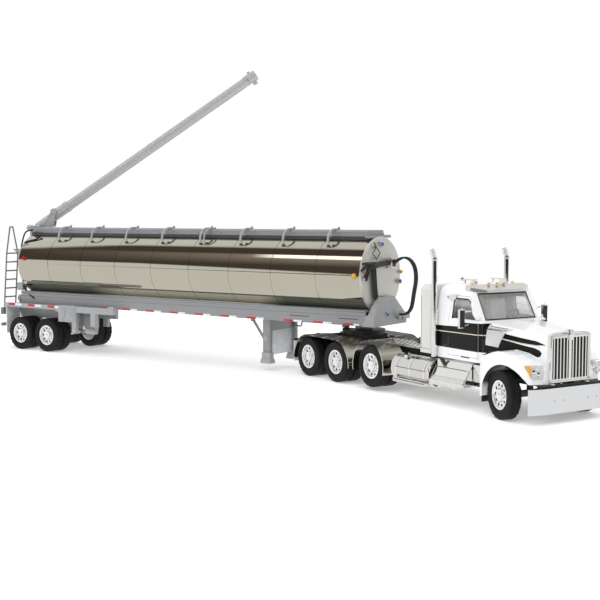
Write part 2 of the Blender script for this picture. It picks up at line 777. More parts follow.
def tyre_profile(width):
    """Half of a tyre's section as (radius, station), from the bead to the tread's middle rib."""
    flank = [
        (RIM_R + 0.01, 0.38), (RIM_R + 0.25, 0.43), (RIM_R + 0.7, 0.455), (RIM_R + 0.85, 0.475),
        (RIM_R + 1.5, 0.498), (RIM_R + 1.65, 0.49), (TYRE_R - 1.3, 0.495), (TYRE_R - 0.75, 0.478),
        (TYRE_R - 0.3, 0.45), (TYRE_R - 0.06, 0.41),
    ]
    tread = [
        (TYRE_R, 0.36), (TYRE_R, 0.285), (TYRE_R - GROOVE_DEPTH, 0.275), (TYRE_R - GROOVE_DEPTH, 0.235),
        (TYRE_R, 0.225), (TYRE_R, 0.12), (TYRE_R - GROOVE_DEPTH, 0.11), (TYRE_R - GROOVE_DEPTH, 0.07),
        (TYRE_R, 0.06),
    ]
    return [(radius, share * width) for radius, share in flank + tread]


def add_tyre(form, centre, width):
    half = tyre_profile(width)
    profile = half + [(radius, -station) for radius, station in reversed(half)]
    # The last three points of the flank and the first of the tread
    shoulder = range(len(half) - 12, len(half) - 8)
    last = len(profile) - 1

    def lug(i, k):
        if k in shoulder or last - k in shoulder:
            return LUG_DEPTH if i % 3 == 0 else 0.0
        return 0.0

    profile.append(profile[0])
    form.lathe(profile, centre, (0, 1, 0), TREAD_SIDES, lug)


def add_wheel_face(form, nuts, holes, side, face, hub):
    """Bright nuts, dark hand holes and hub cap on the outer face of a rim; side is -1 to the right."""
    out = (0, side, 0)
    for i in range(WHEEL_NUTS):
        angle = 2 * pi * (i + 0.5) / WHEEL_NUTS
        nuts.lathe(WHEEL_NUT, (NUT_RING * cos(angle), side * face, NUT_RING * sin(angle)), out, 6)
        angle = 2 * pi * i / WHEEL_NUTS
        holes.lathe(HAND_HOLE, (HAND_RING * cos(angle), side * face, HAND_RING * sin(angle)), out, 16)
    form.lathe(HUB_CAP, (0, side * hub, 0), out, 28)
    form.lathe(RIM_LIP, (0, side * (TRACK - 0.38), 0), out, 48)


def make_wheels(name, body, replaced, place, plural, sides, rows, width, face, hub):
    """Tyres, hubs, nuts and hand holes of the wheels on one body; face and hub count from the outer flank."""
    rubber = Form(place)
    bright = Form(place)
    nuts = Form(place)
    holes = Form(place)
    for side in sides:
        for k in range(rows):
            add_tyre(rubber, (0, side * (TRACK - width / 2 - k * (width + DUAL_GAP)), 0), width)
        add_wheel_face(bright, nuts, holes, side, TRACK - face, TRACK - hub)
    rubber.piece(f"{name}_tyre{plural}", body, TYRE, (replaced,), 40)
    bright.piece(f"{name}_hub{plural}", body, RIM_ALLOY)
    nuts.piece(f"{name}_nuts", body, SATIN_CHROME, crease=20)
    holes.piece(f"{name}_hand_holes", body, BLACK_PLASTIC)


DUALS = {"plural": "s", "sides": SIDES, "rows": 2, "width": TYRE_W, "face": 1.7, "hub": 0.9}
SINGLE = {"plural": "", "rows": 1, "width": FRONT_TYRE_W, "face": 0.9, "hub": 0.5}
AXLE_Z = 8.2
TRAILER_AXLES = {"front": -172.8, "rear": -191.9}
DRIVE_AXLES = {"front": 6.5, "rear": -14}
PUSHER_X = 31
PUSHER_RAISED = 1.2
STEER_X = 104.7
STEER_PIN = 12
for truck, frame_of, axles in (("trailer", TRAILER, TRAILER_AXLES), ("drive", TRACTOR, DRIVE_AXLES)):
    for end, x in axles.items():
        place = frame_of @ shift(x, 0, AXLE_Z)
        make_wheels(f"{truck}_{end}", f"{truck}_axle_{end}", f"{truck}_tyres_{end}", place, **DUALS)
raised = TRACTOR @ shift(PUSHER_X, 0, AXLE_Z + PUSHER_RAISED)
make_wheels("pusher", "pusher_axle", "pusher_tyres", raised, **DUALS)
for side, hand in zip(SIDES, ("right", "left")):
    pin = side * STEER_PIN
    knuckle = TRACTOR @ shift(STEER_X, pin, AXLE_Z) @ turn(-STEER, "Z") @ shift(0, -pin, 0)
    names = (f"front_{hand}", f"front_wheel_{hand}", f"front_tyre_{hand}")
    make_wheels(*names, knuckle, sides=(side,), **SINGLE)

# Trailer: reflective tape on the rails and the rear deck
RAIL_HALF = 13.0
REAR_DECK_HALF = 18.7
RAIL_TAPE = (-138.4, -123.4, -108.5, -93.7, -78.8, -64, -49.2, -29.3, -14.3, 0.6)
DECK_TAPE = (-197.8, -183.3, -168.9)
RED_LONG = 5
WHITE_LEAST = 4
TAPE_END = 5.8
red_tape = Form(TRAILER)
white_tape = Form(TRAILER)
for side in SIDES:
    for stations, half, rise, white_long in (
        (RAIL_TAPE, RAIL_HALF, (22.65, 23.45), 4.2),
        (DECK_TAPE, REAR_DECK_HALF, (22.0, 23.1), 4.6),
    ):
        skin = (half - 0.05, half + 0.09)
        for x in stations:
            start = x - RED_LONG / 2
            seam = x + RED_LONG / 2
            red_tape.side_block(side, (start, seam), skin, rise, SKIN_EDGE)
            end = min(seam + white_long, TAPE_END)
            if end - x > WHITE_LEAST:
                white_tape.side_block(side, (seam, end), skin, rise, SKIN_EDGE)
red_tape.piece("tape_red_pieces", "trailer", TAPE_RED)
white_tape.piece("tape_white_pieces", "trailer", TAPE_WHITE)

# Trailer: the hose rack on the front head, with its clamp, loose ends and band down to the box, and the
# fittings and marker lamps of the head
HEAD_X = 9.3
loom = Form(TRAILER)
loom.block((HEAD_X - 0.2, 3.6, 46.1), (11.0, 7.4, 49.1), 0.3)
for lift, out, tail in (
    (0.75, 0.3, [(9.9, -12.5, 47.6), (9.6, -15.2, 46.2), (9.5, -17.5, 45.2)]),
    (0.2, 0.9, [(10.2, -12.2, 46.6), (10.0, -14.4, 44.2), (9.8, -15.6, 42.4)]),
    (-0.4, 0.5, [(10.0, -11.6, 45.8), (9.8, -13.2, 43.2), (9.6, -14, 41)]),
    (0.6, 1.1, [(10.4, -12.8, 47.9), (10.2, -15.6, 48), (9.8, -17, 47.9)]),
):
    route = [(HEAD_X + out, 4, 47.6 + lift), (HEAD_X + out, -1, 47.3 + lift), (HEAD_X + out, -7, 46.7 + lift)]
    loom.pipe(rounded_path(route + tail, 4), 0.52, 10)
for k in range(3):
    y = -9.6 + 0.95 * k
    route = [
        (9.8, y, 47.2), (9.9, y + 0.3, 44), (9.75, y + 1.2, 38.5), (9.7, y + 2, 34.6), (9.6, y + 2.3, 33.4),
    ]
    loom.pipe(rounded_path(route, 4), 0.5, 10)
loom.block((9.1, -10.3, 46), (10.9, -7.2, 48.4), 0.3)
loom.piece("head_loom", "trailer", HOSE, ("head_harness",), 50)
collar = Form(TRAILER)
collar.block((HEAD_X - 0.2, 3.0, 45.6), (11.3, 3.9, 49.7), 0.25)
collar.block((HEAD_X - 0.2, 3.0, 45.4), (9.8, 8, 46), 0.15)
caps = Form(TRAILER)
for x0, x1, y, z, radius, end_radius in (
    (8.4, 9.9, -1.8, 55.5, 1.25, 1.05),
    (8.4, 9.9, 13.0, 39.6, 1.25, 1.05),
    (12.3, 13.2, -2.8, 26.8, 1.35, 1.2),
):
    collar.rod((x0, y, z), (x1, y, z), radius, end_radius, 24, 0.12)
    caps.dome((x1 - 0.1, y, z), AHEAD, 0.9, 0.5)
collar.piece("head_fittings", "trailer", SATIN_CHROME)
caps.piece("blue_caps", "trailer", BLUE_CAP)
placard = Form(TRAILER)
DIAMOND = [(9.6, -6.2, 54.3), (9.6, -9.2, 51.9), (9.6, -6.2, 49.4), (9.6, -3.2, 51.9)]
placard.pipe(DIAMOND, 0.24, 8, closed=True)
placard.rod((9.5, -6.6, 54.2), (9.4, -7.4, 56.2), 0.3, sides=10)
placard.block((9.0, -7.0, 53.9), (9.5, -5.4, 54.6), 0.1)
placard.piece("placard_holder", "trailer", DARK_METAL, crease=50)
lamp_seats = Form(TRAILER)
lamp_domes = Form(TRAILER)
for side in SIDES:
    lamp_seats.rod((5.4, side * 15.4, 42.8), (5.4, side * 16.5, 42.8), 1.25, sides=24, soft=0.1)
    lamp_domes.dome((5.4, side * 16.4, 42.8), (0, side, 0), 1.05, 0.8)
    lamp_seats.rod((8.3, side * 14.35, 43.6), (9.0, side * 14.35, 43.6), 0.95, sides=24, soft=0.1)
    lamp_domes.dome((9.4, side * 14.35, 43.6), AHEAD, 0.75, 0.6)
lamp_seats.piece("lamp_seats", "trailer", SATIN_CHROME)
lamp_domes.piece("lamp_domes", "trailer", AMBER)

# Trailer: nuts, feet and clamps of the lid's straps, and the lid's trim and dark seal
STRAP_STATIONS = [-171 + 22.886 * i for i in range(8)]
CLAMPED = (0, 3, 4, 5, 7)
DOUBLE_STRAP = STRAP_STATIONS[4] + 2.2
STRAP_R = 4.95
STRAP_Y = -6
STRAP_Z = 56.55
NUT = [(0.42, -0.1), (0.42, 0.25), (0.25, 0.38), (0, 0.38)]
straps = Form(TRAILER)
strap_feet = Form(TRAILER)
for i, x in enumerate(STRAP_STATIONS):
    straps.lathe(NUT, (x, -2.7, 62.1), UP, 6)
    strap_feet.block((x - 0.6, -11.1, 53.9), (x + 0.6, -10.1, 55))
    if i in CLAMPED:
        for way in (-1, 1):
            straps.lathe(NUT, (x + way * 0.85, -9.56, 59.05), (way, 0, 0), 6)
arc = [(DOUBLE_STRAP, -2.7, 61.45)]
for k in range(9):
    angle = radians(90 + 12.5 * k)
    arc.append((DOUBLE_STRAP, STRAP_Y + STRAP_R * cos(angle), STRAP_Z + STRAP_R * sin(angle)))
arc.append((DOUBLE_STRAP, -10.85, 54.1))
straps.pipe(arc, 0.35, 8)
straps.piece("lid_strap_nuts", "trailer", LIGHT_GREY)
strap_feet.piece("lid_strap_feet", "trailer", DARK_METAL)
lid_trim = Form(TRAILER)
lid_seal = Form(TRAILER)
for side in SIDES:
    lid_trim.pipe([(-195.4, side * 6.3, 59.25), (5.8, side * 6.3, 59.25)], 0.2, 8)
    lid_trim.pipe([(-195.2, side * 6.2, 60.35), (5.5, side * 6.2, 60.35)], 0.14, 8)
    lid_seal.side_block(side, (-195.6, 6), (6.42, 6.58), (57.2, 58.6), SKIN_EDGE)
lid_trim.piece("lid_trim", "trailer", TRAILER_GREY, crease=60)
lid_seal.piece("lid_seal", "trailer", DARK_METAL)

# Trailer: pump, bracket and bolts at the rear end, and the red lamps
TOWER_BOLT_RING = 3.7
rear_gear = Form(TRAILER)
rear_gear.plate([(-207, 50.1), (-197.4, 50), (-197.4, 47.4), (-202.4, 47.4)], "Y", -9.9, -9.1, 0.06)
rear_gear.block((-201.4, -12.2, 29.2), (-197.3, -8.9, 33), 0.25)
rear_gear.rod((-199.3, -12.4, 25.2), (-199.3, -8, 25.2), 1.7, sides=24, soft=0.2)
rear_gear.rod((-199.3, -13, 25.2), (-199.3, -12.3, 25.2), 0.9, sides=20, soft=0.1)
rear_gear.block((-200.6, -11.6, 22.5), (-198, -8.6, 24.2), 0.2)
rear_gear.rod((-201, -10.5, 31), (-202.2, -10.5, 31), 0.7, sides=16, soft=0.1)
for angle in range(0, 360, 36):
    x = TOWER_X + TOWER_BOLT_RING * cos(radians(angle))
    y = TOWER_BOLT_RING * sin(radians(angle))
    rear_gear.bolt(0.34, -0.35, 0.2, -0.45, (x, y, 60.2), UP, 6)
for side in SIDES:
    for z in (17.9, 19.1):
        rear_gear.lathe([(0, 0), (0.3, 0), (0.3, -0.2), (0, -0.2)], (-203.4, side * 7.5, z), AHEAD, 6)
rear_gear.piece("rear_gear", "trailer", LIGHT_GREY)
rear_lamps = Form(TRAILER)
for side in SIDES:
    for y in (12.6, 15):
        rear_lamps.dome((-208.45, side * y, 18.5), BACK, 0.95, 0.05)
        rear_lamps.ring((-208.42, side * y, 18.5), AHEAD, 0.98, 0.08, 24, 6)
    marker = (-191.6, side * 15.42, 45.52)
    rear_lamps.lathe([(0.92, 0), (0.92, 0.8), (0.75, 1.0), (0, 1.06)], marker, (0, side * 0.985, 0.174), 24)
rear_lamps.piece("rear_lamps", "trailer", RED_LENS)

# Trailer: boxes, leaf springs, brake cans and bolts of the running gear
SPRING_Y = 7.5
SPRING_LEAVES = (7.2, 5.8, 4.4, 3.0)
LEAF_TOP = 11.05
LEAF_PITCH = 0.34
CAN_Y = 5
running = Form(TRAILER)
bolts = Form(TRAILER)
for side in SIDES:
    y = side * SPRING_Y
    can = side * CAN_Y
    for x in TRAILER_AXLES.values():
        for k, reach in enumerate(SPRING_LEAVES):
            z = LEAF_TOP - LEAF_PITCH * k
            running.block((x - reach, y - 0.65, z - 0.3), (x + reach, y + 0.65, z), 0.06)
        for back in (-0.9, 0.9):
            for out in (-0.85, 0.85):
                running.rod((x + back, y + out, 7), (x + back, y + out, 12.4), 0.16, sides=8)
        running.rod((x + 3.2, can, 9.4), (x + 5.6, can, 9.6), 1.35, sides=20, soft=0.25)
        running.rod((x + 5.6, can, 9.6), (x + 7.4, can, 9.7), 1.55, sides=20, soft=0.25)
        running.rod((x - 0.5, can, 8.4), (x + 3.4, can, 9.4), 0.22, sides=8)
    for x in (-199.9, -182.35, -164.8, -157.3):
        bolts.bolt(0.42, 0.3, 0.25, 0.42, (x, side * 8.4, 12.6), (0, side, 0), 6)
    bolts.bolt(0.75, 0.5, 0.5, 0.7, (-157.3, side * 8.4, 12.2), (0, side, 0), 20)
    for x in (-148, -142, -136, -130):
        bolts.bolt(0.3, 0.2, 0.18, 0.3, (x, side * REAR_DECK_HALF, 21.9), (0, side, 0), 6)
    for x in (-199, -190, -181, -172):
        bolts.lathe([(0.22, 0), (0.22, 0.15), (0, 0.15)], (x, side * REAR_DECK_HALF, 21.6), (0, side, 0), 6)
running.block((-162.6, -19.25, 16.6), (-153.2, -18.9, 22.6), 0.15)
running.block((-161.4, -19.5, 18.6), (-158.6, -19.2, 21.6), 0.15)
running.block((-157.6, -19.5, 17.6), (-154.6, -19.2, 20.4), 0.15)
running.rod((-159.9, -19.2, 17.4), (-159.9, -19.55, 17.4), 0.5, sides=16, soft=0.08)
running.rod((-148.4, -14.8, 11.5), (-141.6, -14.8, 11.5), 1.4, sides=24, soft=0.3)
bolts.bolt(0.95, 0.3, 0.7, 0.45, (-148.7, -16, 13.2), (0, -1, 0), 20)
bolts.bolt(0.8, 0.3, 0.5, 0.45, (-152.6, -18.6, 11.8), (0, -1, 0), 20)
running.piece("running_gear", "trailer", LIGHT_GREY)
recess = Form(TRAILER)
recess.block((-151.4, -16.02, 12.5), (-141.9, -15.8, 20.3), 0.04)
recess.piece("recess_skin", "trailer", MID_METAL)
bolts.piece("running_bolts", "trailer", SATIN_CHROME, crease=20)

# Trailer: landing gear's gear cases, laced braces, panel and crank, and the rails' slots and lines
LEG_X = -43
LEG_Y = 9.5
LACES = 6
landing = Form(TRAILER)
for side in SIDES:
    y = side * LEG_Y
    landing.side_block(side, (LEG_X - 1.1, LEG_X + 1), (10.4, 10.8), (13, 15.6))
    landing.rod((LEG_X, side * 10.7, 14.6), (LEG_X, side * 11.05, 14.6), 0.5, sides=16, soft=0.08)
    low = Vector((-44.65, y, 13.4))
    high = Vector((-51, y, 21.7))
    across = Vector((0.8, 0, 0.61)) * 0.75
    landing.pipe([low + across, high + across], 0.2, 8)
    for k in range(LACES):
        start = low.lerp(high, k / LACES)
        end = low.lerp(high, (k + 0.5) / LACES) + across
        landing.pipe([start, end], 0.15, 6)
        landing.pipe([end, low.lerp(high, (k + 1) / LACES)], 0.15, 6)
landing.piece("landing_gear_dress", "trailer", LIGHT_GREY)
leg_panel = Form(TRAILER)
leg_panel.block((LEG_X - 0.4, -7.55, 6.75), (LEG_X + 0.4, 7.55, 17.4), 0.08)
leg_panel.piece("leg_panel", "trailer", PALE_PANEL)
crank = Form(TRAILER)
CRANK_Y = -11.5
CRANK_ROUTE = [(-28, 22.7), (-27, 21.2), (-25.2, 20.8), (-23.8, 21), (-23.4, 22.7)]
crank.pipe(rounded_path([(x, CRANK_Y, z) for x, z in CRANK_ROUTE], 4), 0.3, 8)
crank.piece("landing_crank", "trailer", DARK_METAL, crease=60)
rail_slots = Form(TRAILER)
for side in SIDES:
    for span in ((-29, -19), (-4, 5.2)):
        rail_slots.side_block(side, span, (RAIL_HALF - 0.1, RAIL_HALF + 0.04), (25.1, 25.4), SKIN_EDGE)
rail_line = Form(TRAILER)
for side in SIDES:
    rail_line.side_block(side, (-197, 8), (RAIL_HALF - 0.1, RAIL_HALF + 0.05), (26.5, 26.72), SKIN_EDGE)
rail_line.piece("rail_line", "trailer", MID_METAL)
rail_slots.piece("rail_slots", "trailer", GROOVE)

# Boom: collars, hinge caps, arm edges and turntable bolts
HINGE_OUT = 3.95
ARM_OUT = 4.05
TURNTABLE_BOLT_RING = 3.6
boom_trim = Form(BOOM)
for collar_line in (
    [(2.3, 6.0), (2.9, 6.0), (3.0, 6.2), (3.0, 7.6), (2.9, 7.8), (2.3, 7.8)],
    [(2.3, 59.4), (2.5, 59.4), (2.5, 60.4), (2.3, 60.4)],
    [(2.3, 119.6), (2.75, 119.6), (2.75, 120.6), (2.3, 120.6)],
):
    boom_trim.lathe(collar_line, (0, 0, 0), AHEAD, 36)
boom_trim.pipe([(8, 0, -2.42), (119, 0, -2.42)], 0.14, 6)
for side in SIDES:
    cap = [(0.55, 0.2), (0.75, 0.55), (1.25, 0.55), (1.35, 0.4), (1.35, 0)]
    boom_trim.lathe(cap, (0, side * HINGE_OUT, HINGE_UP), (0, side, 0), 28)
boom_trim.piece("boom_trim", "boom", BOOM_SILVER)
hinge_eyes = Form(BOOM)
for side in SIDES:
    hinge_eyes.lathe([(0, 0.3), (0.62, 0.3), (0.7, 0.52)], (0, side * HINGE_OUT, HINGE_UP), (0, side, 0), 24)
hinge_eyes.piece("hinge_eyes", "boom", GROOVE)
arms = Form(TURRET)
for side in SIDES:
    for start, end in (((4.6, 61.6), (9.1, 69.0)), ((9.6, 61.6), (10.9, 68.5))):
        arms.pipe([(x, side * ARM_OUT, z) for x, z in (start, end)], 0.3, 10)
for angle in range(20, 360, 40):
    x = TURNTABLE_BOLT_RING * cos(radians(angle))
    y = TURNTABLE_BOLT_RING * sin(radians(angle))
    arms.bolt(0.36, 0.3, 0.22, 0.4, (x, y, 61.9), UP, 6)
arms.piece("turntable_arms", "boom_turntable", BOOM_SILVER)

# Tractor: tread deck, air tanks, shafts, flaps and rear lamps
TREAD_Z = 16.95
TREAD_ROWS = 35
TREAD_COLUMNS = 10
TREAD_START = (11.9, -6.3)
TREAD_PITCH = (1.32, 1.4)
TREAD_LEAN = 0.32
deck = Form(TRACTOR)
deck.block((11, -7.1, TREAD_Z - 0.09), (57.4, 7.1, TREAD_Z + 0.03), 0.04)
for i in range(TREAD_ROWS):
    for j in range(TREAD_COLUMNS):
        x = TREAD_START[0] + TREAD_PITCH[0] * i
        y = TREAD_START[1] + TREAD_PITCH[1] * j
        lean = TREAD_LEAN if (i + j) % 2 else -TREAD_LEAN
        tip = [(x - 0.42, y - lean), (x, y + 0.14), (x + 0.42, y + lean), (x, y - 0.14)]
        deck.plate(tip, "Z", TREAD_Z, TREAD_Z + 0.11)
deck.piece("deck_tread", "tractor", SATIN_CHROME, crease=25)
under = Form(TRACTOR)
for side in SIDES:
    under.lathe(
        [(0, 0), (1.2, 0), (1.75, 0.5), (1.85, 1), (1.85, 11), (1.75, 11.5), (1.2, 12), (0, 12)],
        (40, side * 3.1, 11.1), AHEAD, 28,
    )
for x in DRIVE_AXLES.values():
    under.ball((x, 0, AXLE_Z), 2.7, (1, 0.9, 1), 24)
    under.rod((x + 2, 0, AXLE_Z + 0.6), (x + 4.4, 0, AXLE_Z + 1.4), 1.3, 0.8, 20)
    under.rod((x, -5.5, AXLE_Z), (x, 5.5, AXLE_Z), 1.25, sides=20)
under.rod((-10, 0, 9.6), (2.4, 0, 9.3), 0.55, sides=14)
under.rod((10.4, 0, 10), (26, 0, 12.2), 0.55, sides=14)
under.block((115.6, -13.5, 10.9), (117.7, 13.5, 12.5), 0.3)
under.block((-26.1, -6.2, 12.9), (-25.3, 6.2, 15.8), 0.15)
for side in SIDES:
    under.side_block(side, (85.6, 91), (8, 13), (8.2, 10), 0.3)
under.piece("under_frame", "tractor", CHASSIS_BLACK)
flaps = Form(TRACTOR)
for side in SIDES:
    flaps.side_block(side, (-25.62, -24.9), (9.2, 18.6), (5.2, 13.9), 0.08)
flaps.piece("tractor_flaps", "tractor", FLAP)
tail_lamps = Form(TRACTOR)
for side in SIDES:
    for y in (2.4, 4.8):
        tail_lamps.dome((-26.0, side * y, 14.4), BACK, 0.85, 0.45)
tail_lamps.piece("tail_lamps", "tractor", RED_LENS)

# Tractor: fuel tanks and step boxes
FUEL_Y = 13.4
FUEL_Z = 10.5
STEP_SLOTS = 14
SLOT_START = 46.6
SLOT_PITCH = 1.28
fuel = Form(TRACTOR)
fuel_ends = Form(TRACTOR)
slots = Form(TRACTOR)
for side in SIDES:
    for x in (47, 55, 63.4):
        band = [(5.18, -0.45), (5.3, -0.42), (5.32, 0), (5.3, 0.42), (5.18, 0.45)]
        fuel.lathe(band, (x, side * FUEL_Y, FUEL_Z), AHEAD, 48)
    for x, way in ((44.0, -1), (66.0, 1)):
        end = (x, side * FUEL_Y, FUEL_Z)
        fuel.lathe([(5.2, -0.4), (5.25, 0), (4.95, 0.12), (4.6, 0.05)], end, (way, 0, 0), 48)
        fuel_ends.lathe([(4.6, 0.05), (4.2, 0.22), (2.4, 0.36), (0, 0.4)], end, (way, 0, 0), 48)
    fuel.lathe(
        [(1.0, -0.4), (1.0, 0.7), (1.2, 0.75), (1.2, 1.2), (1.0, 1.35), (0, 1.35)],
        (50.5, side * (FUEL_Y + 2.4), FUEL_Z + 4.4), (0, side * 0.45, 0.9), 20,
    )
    fuel.side_block(side, (45.4, 64.6), (17.2, 18.95), (6.5, 6.95))
    fuel.side_block(side, (45.4, 64.6), (18.5, 18.95), (6.2, 7.2))
    for i in range(STEP_SLOTS):
        x = SLOT_START + SLOT_PITCH * i
        slots.side_block(side, (x, x + 0.6), (18.9, 19.0), (6.5, 6.9), SKIN_EDGE)
        slots.side_block(side, (x, x + 0.7), (18.45, 18.68), (11.1, 11.4), SKIN_EDGE)
fuel.piece("fuel_tank_dress", "tractor", CHROME, crease=28)
fuel_ends.piece("fuel_tank_ends", "tractor", DARK_MIRROR, crease=28)


STEP_X0 = 66.6
STEP_X1 = 85.2
STEP_EDGE = (15.4, 13.9)
STEP_SLOPE = (3.0, -5.1)
STEP_OUT = (0.862, 0.507)


def step_spot(x, share, out, side):
    """A point on the slanted side of a step box, lifted off by out."""
    y, z = [STEP_EDGE[k] + STEP_SLOPE[k] * share + STEP_OUT[k] * out for k in (0, 1)]
    return (x, side * y, z)


def step_line(inset, share, out, side):
    """A level line on the slanted side of a step box, from end to end."""
    return [step_spot(x, share, out, side) for x in (STEP_X0 + inset, STEP_X1 - inset)]


steps = Form(TRACTOR)
for side in SIDES:
    slots.pipe(step_line(1.4, 0.08, 0.03, side), 0.13, 6)
    steps.side_block(side, (STEP_X0 + 0.2, STEP_X1 - 0.2), (17.3, 18.75), (7.35, 7.85))
    for share in (0.7, 0.8, 0.9, 0.98):
        steps.pipe(step_line(0.6, share, 0.02, side), 0.17, 8)
    for x in (STEP_X0 + 0.15, STEP_X1 - 0.15):
        steps.pipe([step_spot(x, 0.02, 0, side), step_spot(x, 0.98, 0, side)], 0.2, 8)
    for y in (9.6, 10.8, 12, 13.2):
        steps.block((STEP_X0 + 0.4, side * y - 0.2, 16.15), (STEP_X1 - 0.4, side * y + 0.2, 16.35), 0.06)
    for x in (72, 80):
        steps.side_block(side, (x - 0.6, x + 0.6), (17.6, 18.5), (6.7, 7.5), 0.1)
    steps.side_block(side, (STEP_X1 + 0.3, 91), (9, 14.4), (10, 16), 0.15)
steps.piece("step_box_dress", "tractor", CHROME)
slots.piece("step_slots", "tractor", GROOVE)

# Tractor: exhaust stacks, roof lamps and mirrors
STACK_X = 67.3
STACK_Y = 17
MIRROR_Y = 19.3
ROOF_LAMP_SIDES = (-9.5, -3.5, 0, 3.5, 9.5)
ROOF_EDGE_X = 81.15
ROOF_BOW = 2.5
stack = Form(TRACTOR)
stack_holes = Form(TRACTOR)
stack_tips = Form(TRACTOR)
for side in SIDES:
    y = side * STACK_Y
    for z in (20.1, 34):
        band = [(1.1, -0.2), (1.28, -0.16), (1.28, 0.16), (1.1, 0.2)]
        stack.lathe(band, (STACK_X, y, z), UP, 28)
    tip_axis = Vector((-1.4, 0, 3.4))
    tip_axis.normalize()
    tip = Vector((65.9, y, 55)) - tip_axis * 0.55
    stack_tips.lathe([(0.93, -2.6), (1.0, -2.5), (1.0, 0.5), (0.93, 0.54), (0.78, 0.5)], tip, tip_axis, 28)
    stack_holes.lathe([(0, 0.56), (0.8, 0.56)], tip, tip_axis, 24)
    stack.side_block(side, (66.4, 67), (14.9, 16.2), (30.6, 31.4), 0.1)
stack.piece("stack_bands", "tractor", CHROME)
stack_tips.piece("stack_tips", "tractor", RIM_ALLOY)
stack_holes.piece("stack_holes", "tractor", GROOVE)
roof_lamps = Form(TRACTOR)
for y in ROOF_LAMP_SIDES:
    x = ROOF_EDGE_X - ROOF_BOW * (y / ROOF_LAMP_SIDES[-1]) ** 2
    roof_lamps.ball((x, y, 43.3), 0.5, (1.5, 1, 0.8), 20)
roof_lamps.piece("roof_lamp_lenses", "tractor", PALE_AMBER, ("roof_lamps",), 60)
faces = Form(TRACTOR)
brackets = Form(TRACTOR)
for side in SIDES:
    y = side * MIRROR_Y
    faces.block((85.2, y - 1.0, 29.0), (85.42, y + 1.0, 34.9), 0.06)
    faces.block((84.2, y - 0.85, 29.3), (84.4, y + 0.85, 34.7), 0.06)
    for z in (29.5, 34.4):
        brackets.rod((84.6, side * 14.6, z - 0.3), (84.6, side * 19, z), 0.3, sides=12)
    brackets.ring((84.8, y, 35.2), AHEAD, 0.35, 0.14, 16, 6)
    brackets.plate(
        [(70.9, 38.5), (76.9, 39.7), (75.9, 37.8), (73.4, 37.5)], "Y",
        *sorted((side * 14.1, side * 14.6)), 0.05,
    )
faces.piece("mirror_faces", "tractor", BLACK_PLASTIC)
brackets.piece("mirror_brackets", "tractor", CHROME)

# Tractor: window seals, door gaps and handles, and the cabinet's panel lines and latches
CAB_HALF = 15.6
BELT_Z = 29.5
SIDE_LEAN = 0.165
SILL_Z = 31.2
CORNER_X = 85
CORNER_LEAN = 1.05
SCREEN_FOOT_X = 88.4
SCREEN_LEAN = 5.2 / 9.4


def cab_side(x, z):
    """Half the cab's width at a place on its side."""
    half = CAB_HALF - SIDE_LEAN * max(0, z - BELT_Z)
    if z > SILL_Z:
        half -= CORNER_LEAN * max(0, x - CORNER_X)
    return half


def screen_x(z):
    """Where the windscreen's middle stands at a height."""
    return SCREEN_FOOT_X - SCREEN_LEAN * (z - SILL_Z)


seals = Form(TRACTOR)
screen = [(-11.5, 31.4), (11.5, 31.4), (11.2, 40), (-11.2, 40)]
seals.pipe([(screen_x(z) + 0.02, y, z) for y, z in screen], 0.26, 8, closed=True)
door_window = [(75, 31.4), (86.4, 31.4), (83.6, 37.5), (82.4, 38.2), (76, 38.2), (75, 37.2)]
gaps = Form(TRACTOR)
door_gaps = Form(TRACTOR)
door_gap = [
    (73.6, 38.9), (73.4, 30), (73.4, 18.4), (89.2, 18.4), (89.2, 24), (88.9, 30.6), (87.2, 32.4),
    (84.2, 38.3), (82.6, 39.2), (74.6, 39.2),
]
for side in SIDES:
    seals.pipe([(x, side * (cab_side(x, z) - 0.05), z) for x, z in door_window], 0.24, 8, closed=True)
    door_gaps.pipe([(x, side * (cab_side(x, z) - 0.03), z) for x, z in door_gap], 0.08, 6, closed=True)
    gaps.side_block(side, (80.4, 84.8), (15.5, 15.72), (18.1, 18.5), 0.05)
    seals.side_block(side, (70.3, 74.3), (15.55, 15.85), (21.2, 21.9), 0.1)
    seals.rod((90.4, side * 14.5, 15.6), (91.6, side * 14.5, 15.9), 0.32, sides=10, soft=0.06)
seals.pipe([(66.58, -7, 32), (66.58, 7, 32), (66.58, 7, 38), (66.58, -7, 38)], 0.24, 8, closed=True)
seals.piece("window_seals", "tractor", BLACK_PLASTIC, crease=50)
CABINET_SIDE = 15.82
CABINET_BACK = 57.98
CABINET_DOORS = [(-13.6, 19), (13.6, 19), (13.6, 38.4), (-13.6, 38.4)]
for side in SIDES:
    for line in ([(58, 19.2), (64.6, 19.2), (64.6, 38)], [(58.4, 38), (58.4, 19.2)]):
        gaps.pipe([(x, side * CABINET_SIDE, z) for x, z in line], 0.08, 6)
gaps.pipe([(CABINET_BACK, y, z) for y, z in CABINET_DOORS], 0.09, 6, closed=True)
gaps.pipe([(CABINET_BACK, 0, 19), (CABINET_BACK, 0, 38.4)], 0.09, 6)
door_gaps.piece("door_gaps", "tractor", SOFT_GAP, crease=60)
gaps.piece("panel_gaps", "tractor", GROOVE, crease=60)
cabinet_latches = Form(TRACTOR)
for y in (-1.6, 1.6):
    cabinet_latches.block((57.6, y - 0.5, 27.4), (58.05, y + 0.5, 29.6))
for side in SIDES:
    for z in (22, 35):
        low = (57.9, side * 13.6, z - 0.8)
        high = (57.9, side * 13.6, z + 0.8)
        cabinet_latches.rod(low, high, 0.3, sides=10, soft=0.05)
cabinet_latches.piece("cabinet_latches", "tractor", SATIN_CHROME)

